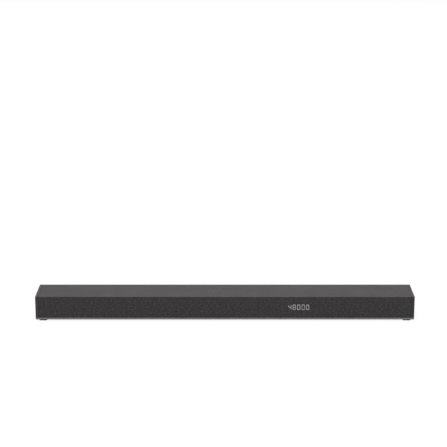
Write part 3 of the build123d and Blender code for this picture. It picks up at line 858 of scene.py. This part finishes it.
def makeFeet():
    spec = footSpec
    low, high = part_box("feet")
    right, back, top = [value / mm for value in high]
    foot = startBox("foot", (right - spec["long"], back - spec["wide"], 0), (right, back, top))
    pickEdges(foot, edgeAlong(2))
    bevelPicked(spec["corner"], 8)
    pickFaces(foot, facing(0, 0, -1))
    bpy.ops.mesh.inset(thickness=spec["ring"] * mm)
    drawOut(0, 0, spec["dish"])
    bpy.ops.mesh.inset(thickness=spec["pad"] * mm)
    drawOut(0, 0, -spec["padDrop"])
    pickEdges(foot, edgeAt(2, 0))
    bevelPicked(spec["rim"], 4)
    spanX = right - low.x / mm - spec["long"]
    spanY = back - low.y / mm - spec["wide"]
    feet = [foot]
    for x, y in ((-spanX, 0), (0, -spanY), (-spanX, -spanY)):
        feet.append(copyTo(foot, (x, y, 0)))
    feet = joinPieces("rubberFeet", feet)
    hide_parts("feet")
    return finishPiece(feet, footRubber, "housing", 40)


feet = makeFeet()
print("stage: feet moulded,", len(feet.data.polygons), "faces")

# Screws under the tray: pan heads with a cross recess, sunk in their pockets
screwSpec = {
    "places": [(120.0, 44.5), (480.0, 44.5), (300.75, 44.5), (120.0, -32.0), (480.0, -32.0), (509.5, 0.0)],
    "headRadius": 2.9,
    "headRound": 0.7,
    "headTop": 4.9,
    "headFace": 3.65,
    "shankRadius": 1.3,
    "shankEnd": 12.0,
    "slotLong": 3.4,
    "slotWide": 0.7,
    "slotDeep": 0.7,
}


def makeScrews():
    spec = screwSpec
    x, y = spec["places"][0]
    screw = startDisc("screw", (x, y), spec["headRadius"], spec["headFace"], spec["headTop"], 32)
    pickFaces(screw, facing(0, 0, 1))
    bpy.ops.mesh.inset(thickness=(spec["headRadius"] - spec["shankRadius"]) * mm)
    drawOut(0, 0, spec["shankEnd"] - spec["headTop"])
    pickEdges(screw, edgeAt(2, spec["headFace"] * mm))
    bevelPicked(spec["headRound"], 4)
    cutters = []
    for long, wide in ((spec["slotLong"], spec["slotWide"]), (spec["slotWide"], spec["slotLong"])):
        low = (x - long / 2, y - wide / 2, spec["headFace"] - overcut)
        high = (x + long / 2, y + wide / 2, spec["headFace"] + spec["slotDeep"])
        cutters.append(startBox("crossCutter", low, high))
    cutWith(screw, cutters)
    screws = [screw]
    for placeX, placeY in spec["places"]:
        for side in (1, -1):
            if (side * placeX, placeY) != (x, y):
                screws.append(copyTo(screw, (side * placeX - x, placeY - y, 0)))
    screws = joinPieces("crossHeadScrews", screws)
    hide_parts("housing_screws")
    return finishPiece(screws, blackScrew, "housing", 40)


screws = makeScrews()
print("stage: screws in,", len(screws.data.polygons), "faces")

# Key symbols: thin pad print on each key, tone on tone
markSpec = {
    "thick": 0.05,
    "line": 0.4,
    "ring": 1.9,
    "ringGap": 1.6,
    "stem": (0.3, 2.6),
    "frame": (2.0, 1.6),  # half width and half height
    "doorway": 0.8,  # half height
    "shaft": (-3.2, -0.4),
    "arrow": 0.84,
    "arm": 2.0,
}


def keyTop(key):
    low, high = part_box(key)
    return (low.x + high.x) / 2 / mm, (low.y + high.y) / 2 / mm, high.z / mm


def powerMark(x, y, low, high):
    # a broken ring with a stem in its opening
    spec = markSpec
    half = spec["line"] / 2
    gapHalf = spec["ringGap"] / 2
    under = low - overcut
    over = high + overcut
    ring = startDisc("powerRing", (x, y), spec["ring"] + half, low, high)
    hollow = startDisc("ringHollow", (x, y), spec["ring"] - half, under, over)
    gap = startBox("ringGap", (x - gapHalf, y, under), (x + gapHalf, y + 2 * spec["ring"], over))
    cutWith(ring, [hollow, gap])
    start, end = spec["stem"]
    stem = startBox("powerStem", (x - half, y + start, low), (x + half, y + end, high))
    return [ring, stem]


def sourceMark(x, y, low, high):
    # an arrow that goes into a frame
    spec = markSpec
    line = spec["line"]
    wide, tall = spec["frame"]
    door = spec["doorway"]
    under = low - overcut
    over = high + overcut
    rim = startBox("sourceFrame", (x - wide, y - tall, low), (x + wide, y + tall, high))
    innerLow = (x - wide + line, y - tall + line, under)
    innerHigh = (x + wide - line, y + tall - line, over)
    hollow = startBox("frameHollow", innerLow, innerHigh)
    doorway = startBox("frameDoorway", (x - wide - overcut, y - door, under), (x, y + door, over))
    cutWith(rim, [hollow, doorway])
    start, end = spec["shaft"]
    shaft = startBox("arrowShaft", (x + start, y - line / 2, low), (x + end, y + line / 2, high))
    head = startDisc("arrowHead", (x, y), spec["arrow"], low, high, 3)
    bpy.ops.object.mode_set(mode="EDIT")
    bpy.ops.mesh.select_all(action="SELECT")
    bpy.ops.transform.rotate(
        value=math.radians(90), orient_axis="Z", center_override=(x * mm, y * mm, low * mm)
    )
    bpy.ops.object.mode_set(mode="OBJECT")
    return [rim, shaft, head]


def volumeMark(x, y, low, high, arms):
    # a bar or a cross, drawn out of its middle square one arm at a time
    spec = markSpec
    half = spec["line"] / 2
    sign = startBox("volumeSign", (x - half, y - half, low), (x + half, y + half, high))
    draw = spec["arm"] - half
    middle = Vector((x, y, (low + high) / 2)) * mm
    for armX, armY in arms:
        way = Vector((armX, armY, 0))
        aside = Vector((armY, armX, 0))

        def armEnd(centre, normal):
            return normal.dot(way) > 0.9 and abs((centre - middle).dot(aside)) < half * mm

        pickFaces(sign, armEnd)
        drawOut(*(way * draw))
        bpy.ops.object.mode_set(mode="OBJECT")
    return [sign]


def makeKeyMarks():
    levelArms = [(1, 0), (-1, 0)]
    crossArms = levelArms + [(0, 1), (0, -1)]
    marks = [
        ("power_key", "powerMark", powerMark, ()),
        ("source_key", "sourceMark", sourceMark, ()),
        ("volume_down_key", "volumeDownMark", volumeMark, (levelArms,)),
        ("volume_up_key", "volumeUpMark", volumeMark, (crossArms,)),
    ]
    for key, name, draw, extra in marks:
        x, y, top = keyTop(key)
        mark = joinPieces(name, draw(x, y, top, top + markSpec["thick"], *extra))
        finishPiece(mark, keyInk, key)


makeKeyMarks()
print("stage: key symbols printed")

# Shielded sockets: folded tinned shells with a plastic tongue and gold contacts
socketSpec = {
    "sheet": 0.45,
    "mouth": 10.0,
    "lip": 0.15,
    "tongueEnd": 0.9,
    "tongueHigh": 1.2,
    "tongueRound": 0.25,
    "contactLong": 6.5,
    "contactWide": 0.38,
    "contactHigh": 0.08,
    "contactRound": 0.03,
    "contactSetback": 0.6,
    "sockets": [
        # node, name, corner cut of the lower edges, tongue width, tongue rise, contacts
        ("video_out_socket", "videoOutShell", 1.9, 11.6, 0.0, 10),
        ("video_in_socket", "videoInShell", 1.9, 11.6, 0.0, 10),
        ("data_socket", "dataShell", 0.0, 10.6, 1.2, 4),
    ],
}


def makeShell(node, name, corner):
    spec = socketSpec
    low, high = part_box(node)
    shell = startBox(name, [c / mm for c in low], [c / mm for c in high])
    if corner:
        pickEdges(shell, lambda a, b: edgeAlong(1)(a, b) and edgeAt(2, low.z)(a, b))
        bevelPicked(corner, 2)
    pickFaces(shell, facing(0, 1, 0))
    bpy.ops.mesh.inset(thickness=spec["sheet"] * mm)
    drawOut(0, -spec["mouth"], 0)
    pickEdges(shell, edgeAt(1, high.y))
    bevelPicked(spec["lip"], 2)
    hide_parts(node)
    return finishPiece(shell, tinPlate, "housing")


def makeTongue(node, wide, rise):
    spec = socketSpec
    low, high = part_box(node)
    x = (low.x + high.x) / 2 / mm
    z = (low.z + high.z) / 2 / mm + rise
    back = high.y / mm - spec["mouth"]
    front = high.y / mm - spec["tongueEnd"]
    halfHigh = spec["tongueHigh"] / 2
    tongue = startBox("tongue", (x - wide / 2, back, z - halfHigh), (x + wide / 2, front, z + halfHigh))
    pickEdges(tongue, edgeAt(1, front * mm))
    bevelPicked(spec["tongueRound"], 2)
    return tongue, (x, front, z)


def makeContacts(x, front, z, wide, count):
    # one spring strip, then its copies along the tongue, above and below it
    spec = socketSpec
    halfHigh = spec["tongueHigh"] / 2
    halfWide = spec["contactWide"] / 2
    base = z + halfHigh
    top = base + spec["contactHigh"]
    end = front - spec["contactSetback"]
    first = startBox("contact", (x - halfWide, end - spec["contactLong"], base), (x + halfWide, end, top))
    pickEdges(first, edgeAt(2, top * mm))
    bevelPicked(spec["contactRound"], 1)
    pitch = wide / (count + 0.5)
    strips = []
    for i in range(count):
        offset = (i - (count - 1) / 2) * pitch
        strips.append(copyTo(first, (offset, 0, 0)))
        strips.append(copyTo(first, (offset, 0, -2 * halfHigh - spec["contactHigh"])))
    bpy.data.objects.remove(first)
    return strips


def makeSockets():
    tongues = []
    contacts = []
    for node, name, corner, wide, rise, count in socketSpec["sockets"]:
        makeShell(node, name, corner)
        tongue, (x, front, z) = makeTongue(node, wide, rise)
        tongues.append(tongue)
        contacts += makeContacts(x, front, z, wide, count)
    finishPiece(joinPieces("socketTongues", tongues), blackNylon, "housing")
    finishPiece(joinPieces("socketContacts", contacts), goldPlate, "housing")


makeSockets()
print("stage: sockets folded")

# Jack collar: a plated ring pressed round the mouth of the jack
collarSpec = {"inner": 1.85, "outer": 3.1, "proud": 0.5, "edge": 0.15}


def makeCollar():
    spec = collarSpec
    low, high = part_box("jack_socket")
    centre = ((low.x + high.x) / 2 / mm, (low.z + high.z) / 2 / mm)
    base = high.y / mm
    face = base + spec["proud"]
    collar = startRod("jackCollar", centre, spec["outer"], base, face)
    pickFaces(collar, lambda centre, normal: abs(normal.y) > 0.9)
    bpy.ops.mesh.inset(thickness=(spec["outer"] - spec["inner"]) * mm)
    bpy.ops.mesh.bridge_edge_loops()
    pickEdges(collar, edgeAt(1, face * mm))
    bevelPicked(spec["edge"], 3)
    return finishPiece(collar, tinPlate, "housing")


collar = makeCollar()
print("stage: jack collar on,", len(collar.data.polygons), "faces")

# Wall inserts: hexagonal brass nuts moulded into the rear panels, with a sunk mouth and a threaded bore
insertSpec = {
    "corner": 3.2,
    "edge": 0.2,
    "mouth": 2.3,
    "sink": 0.5,
    "crest": 1.65,
    "root": 2.0,
    "pitch": 0.7,
    "turns": 12,
}


def makeInserts():
    spec = insertSpec
    low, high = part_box("wall_inserts")
    centre = (high.x / mm - spec["corner"], (low.z + high.z) / 2 / mm)
    face = high.y / mm
    insert = startRod("insert", centre, spec["corner"], low.y / mm, face, 6, 30)
    pickEdges(insert, edgeAt(1, high.y))
    bevelPicked(spec["edge"], 2)
    # the tap: a rod drawn inwards ring by ring, narrow at each crest and wide at each root
    tap = startRod("tap", centre, spec["mouth"], face, face + overcut)
    pickFaces(tap, facing(0, -1, 0))
    rings = [(spec["sink"], spec["crest"])]
    for i in range(spec["turns"]):
        rings += [(spec["pitch"] / 2, spec["root"]), (spec["pitch"] / 2, spec["crest"])]
    radius = spec["mouth"]
    for step, ring in rings:
        drawOut(0, -step, 0)
        share = ring / radius
        bpy.ops.transform.resize(
            value=(share, 1, share), center_override=(centre[0] * mm, high.y, centre[1] * mm)
        )
        radius = ring
    bpy.ops.object.mode_set(mode="OBJECT")
    cutWith(insert, [tap])
    other = copyTo(insert, (-2 * centre[0], 0, 0))
    inserts = joinPieces("threadedInserts", [insert, other])
    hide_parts("wall_inserts")
    return finishPiece(inserts, turnedBrass, "housing")


inserts = makeInserts()
print("stage: wall inserts tapped,", len(inserts.data.polygons), "faces")

# Woofer rolls: half-round rubber surrounds. The outer half of each is glued to the flange,
# and the inner half, which folds as the diaphragm moves in the real speaker, is made as a loose piece with
# no body.
rollSpec = {"long": 98.0, "landing": 1.5, "roll": 5.5, "rise": 2.4, "steps": 12, "wall": 0.3}


def makeRoll(radius, centre, stretch):
    spec = rollSpec
    deselectAll()
    bpy.ops.mesh.primitive_circle_add(
        vertices=64, radius=radius, fill_type="NGON", location=centre, rotation=(math.radians(90), 0, 0)
    )
    roll = bpy.context.object
    bpy.ops.object.transform_apply(location=True, rotation=True, scale=True)
    # drawn out to an oval by moving each half outwards
    for side in (1, -1):
        pickPoints(roll, lambda point: side * (point.x - centre.x) > tiny)
        bpy.ops.transform.translate(value=(side * stretch, 0, 0))
    # outer landing, half-round roll, inner landing
    bpy.ops.mesh.select_mode(type="FACE")
    bpy.ops.mesh.select_all(action="SELECT")
    bpy.ops.mesh.inset(thickness=spec["landing"] * mm)
    angles = [math.pi * i / spec["steps"] for i in range(spec["steps"] + 1)]
    for a, b in zip(angles, angles[1:]):
        inwards = (math.cos(a) - math.cos(b)) * spec["roll"] / 2
        forwards = (math.sin(b) - math.sin(a)) * spec["rise"]
        bpy.ops.mesh.inset(thickness=inwards * mm, depth=forwards * mm)
    bpy.ops.mesh.inset(thickness=spec["landing"] * mm)
    bpy.ops.mesh.delete(type="FACE")
    bpy.ops.object.mode_set(mode="OBJECT")
    wall = roll.modifiers.new("wall", "SOLIDIFY")
    wall.thickness = spec["wall"] * mm
    wall.offset = 1
    applyModifiers(roll)
    return roll


def splitRoll(roll, radius, centre, stretch):
    # cut at the crest, each half closed again along the cut
    spec = rollSpec
    crest = radius - (spec["landing"] + spec["roll"] / 2) * mm

    def outerHalf(place, normal):
        pastEnd = max(abs(place.x - centre.x) - stretch, 0)
        return math.hypot(pastEnd, place.z - centre.z) > crest

    pickFaces(roll, outerHalf)
    bpy.ops.mesh.separate(type="SELECTED")
    bpy.ops.object.mode_set(mode="OBJECT")
    rim = [half for half in bpy.context.selected_objects if half != roll][0]
    for half in (roll, rim):
        selectOnly(half)
        bpy.ops.object.mode_set(mode="EDIT")
        bpy.ops.mesh.select_all(action="SELECT")
        bpy.ops.mesh.region_to_loop()
        bpy.ops.mesh.bridge_edge_loops()
        bpy.ops.object.mode_set(mode="OBJECT")
    return rim


def makeRolls():
    spec = rollSpec
    low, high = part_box("woofer_surrounds")
    radius = (high.z - low.z) / 2
    centre = Vector((high.x - spec["long"] / 2 * mm, high.y, (low.z + high.z) / 2))
    stretch = spec["long"] / 2 * mm - radius
    roll = makeRoll(radius, centre, stretch)
    rim = splitRoll(roll, radius, centre, stretch)
    toLeft = (-2 * centre.x / mm, 0, 0)
    rims = joinPieces("rollRims", [rim, copyTo(rim, toLeft)])
    finishPiece(rims, rollRubber, "housing", 50)
    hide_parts("woofer_surrounds")
    for side, half in (("left", copyTo(roll, toLeft)), ("right", roll)):
        fold = joinPieces(side + "RollFold", [half])
        finishPiece(fold, rollRubber, None, 50)
        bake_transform(fold)
        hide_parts("woofer_surrounds")
    return rims


rollRims = makeRolls()
print("stage: woofer rolls made,", len(rollRims.data.polygons), "faces in their rims")

# Vent screens: fine black gauze in a thin frame, behind the slots of the rear panels
screenSpec = {
    "middleX": 183.875,
    "middleZ": 36.0,
    "wide": 76.0,
    "tall": 29.0,
    "thick": 0.5,
    "corner": 2.0,
    "frame": 2.2,
    "gauze": 0.5,  # thickness of the gauze as a share of the frame's
    "panelWall": 3.0,
}


def makeScreens():
    spec = screenSpec
    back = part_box("right_rear_panel")[1].y / mm - spec["panelWall"]
    front = back - spec["thick"]
    halfWide = spec["wide"] / 2
    halfTall = spec["tall"] / 2
    low = (spec["middleX"] - halfWide, front, spec["middleZ"] - halfTall)
    high = (spec["middleX"] + halfWide, back, spec["middleZ"] + halfTall)
    screen = startBox("ventScreen", low, high)
    pickEdges(screen, edgeAlong(1))
    bevelPicked(spec["corner"], 4)
    pickFaces(screen, lambda centre, normal: abs(normal.y) > 0.9)
    bpy.ops.mesh.inset(thickness=spec["frame"] * mm)
    bpy.ops.transform.resize(
        value=(1, spec["gauze"], 1), center_override=(0, (front + back) / 2 * mm, 0)
    )
    bpy.ops.object.mode_set(mode="OBJECT")
    other = copyTo(screen, (-2 * spec["middleX"], 0, 0))
    return finishPiece(joinPieces("ventScreens", [screen, other]), blackGauze, "housing")


screens = makeScreens()
print("stage: vent screens in,", len(screens.data.polygons), "faces")

# Stage: a white paper sweep that keeps a soft contact shadow, and soft boxes above, in front and behind.
# Its sizes are in metres.
studio = {
    "worldLight": 0.45,
    "floorSize": 60.0,
    "floorDrop": 0.0001,
    "floorShown": 0.84,
    "shadowZone": (0.9, 2.0),
    "lamps": [
        # name, place, target, size, watts
        ("overhead", (0.0, -0.4, 2.6), (0.0, 0.0, 0.0), (3.2, 2.0), 28.0),
        ("frontLeft", (-2.2, -2.8, 1.9), (0.0, 0.0, 0.03), (1.6, 1.6), 32.0),
        ("frontRight", (2.2, -2.8, 1.9), (0.0, 0.0, 0.03), (1.6, 1.6), 34.0),
        ("behind", (0.0, 2.8, 1.8), (0.0, 0.0, 0.03), (2.6, 1.4), 36.0),
    ],
}


def seenDirectly(tree):
    # 1 for rays that show a background: straight from the camera, or by way of metal and glass
    rays = addNode(tree, "ShaderNodeLightPath").outputs
    mirrored = addNode(
        tree,
        "ShaderNodeMath",
        links={0: rays["Is Glossy Ray"], 1: rays["Is Transmission Ray"]},
        operation="MAXIMUM",
    ).outputs[0]
    return addNode(
        tree, "ShaderNodeMath", links={0: rays["Is Camera Ray"], 1: mirrored}, operation="MAXIMUM"
    ).outputs[0]


def lightRoom():
    world = bpy.data.worlds.new("softRoom")
    bpy.context.scene.world = world
    world.use_nodes = True
    tree = world.node_tree
    tree.nodes.clear()
    room = addNode(tree, "ShaderNodeBackground", {"Strength": studio["worldLight"]})
    white = addNode(tree, "ShaderNodeBackground", {"Strength": 1.0})
    for background in (room, white):
        background.inputs["Color"].default_value = srgb("#ffffff")
    shown = addNode(
        tree,
        "ShaderNodeMixShader",
        links={0: seenDirectly(tree), 1: room.outputs[0], 2: white.outputs[0]},
    )
    addNode(tree, "ShaderNodeOutputWorld", links={"Surface": shown.outputs[0]})


# White paper: matt, lit white near the bar, where its shadow falls, and plain white further out
def whitePaper():
    paper, tree, shader, place = startMaterial("whitePaper", Roughness=0.95, Specular_IOR_Level=0.0)
    seen = seenDirectly(tree)
    distance = addNode(tree, "ShaderNodeVectorMath", links={0: place}, operation="LENGTH").outputs["Value"]
    near, far = studio["shadowZone"]
    further = addNode(
        tree, "ShaderNodeMapRange", {"From Min": near, "From Max": far}, {"Value": distance}
    ).outputs[0]
    shownPaper = addNode(
        tree,
        "ShaderNodeMix",
        {mixFirst: srgb("#7d7d7d"), mixSecond: srgb("#000000")},
        {mixAmount: further},
        data_type="RGBA",
    ).outputs[mixColour]
    paperTone = addNode(
        tree,
        "ShaderNodeMix",
        {mixFirst: srgb("#f3f3f3")},
        {mixAmount: seen, mixSecond: shownPaper},
        data_type="RGBA",
    ).outputs[mixColour]
    tree.links.new(paperTone, shader.inputs["Base Color"])
    shader.inputs["Emission Color"].default_value = srgb("#ffffff")
    lift = addNode(
        tree, "ShaderNodeMapRange", {"To Min": studio["floorShown"], "To Max": 1.0}, {"Value": further}
    ).outputs[0]
    shownLift = addNode(tree, "ShaderNodeMath", links={0: lift, 1: seen}, operation="MULTIPLY").outputs[0]
    tree.links.new(shownLift, shader.inputs["Emission Strength"])
    # seen from above only, so that a view from below shows the underside of the bar
    fromBelow = addNode(tree, "ShaderNodeNewGeometry").outputs["Backfacing"]
    clear = addNode(tree, "ShaderNodeBsdfTransparent").outputs[0]
    oneSided = addNode(
        tree, "ShaderNodeMixShader", links={0: fromBelow, 1: shader.outputs[0], 2: clear}
    ).outputs[0]
    tree.links.new(oneSided, tree.nodes["Material Output"].inputs["Surface"])
    return paper


def layPaper():
    deselectAll()
    bpy.ops.mesh.primitive_plane_add(size=studio["floorSize"], location=(0, 0, -studio["floorDrop"]))
    floor = bpy.context.object
    floor.name = "paperSweep"
    floor.data.materials.append(whitePaper())


def hangLamps():
    for name, place, target, size, watts in studio["lamps"]:
        lampData = bpy.data.lights.new(name, "AREA")
        lampData.shape = "RECTANGLE"
        lampData.size, lampData.size_y = size
        lampData.energy = watts
        lamp = bpy.data.objects.new(name, lampData)
        lamp.location = place
        aim = Vector(target) - Vector(place)
        lamp.rotation_euler = aim.to_track_quat("-Z", "Y").to_euler()
        bpy.context.scene.collection.objects.link(lamp)


lightRoom()
layPaper()
hangLamps()
print("stage: floor and lamps set")
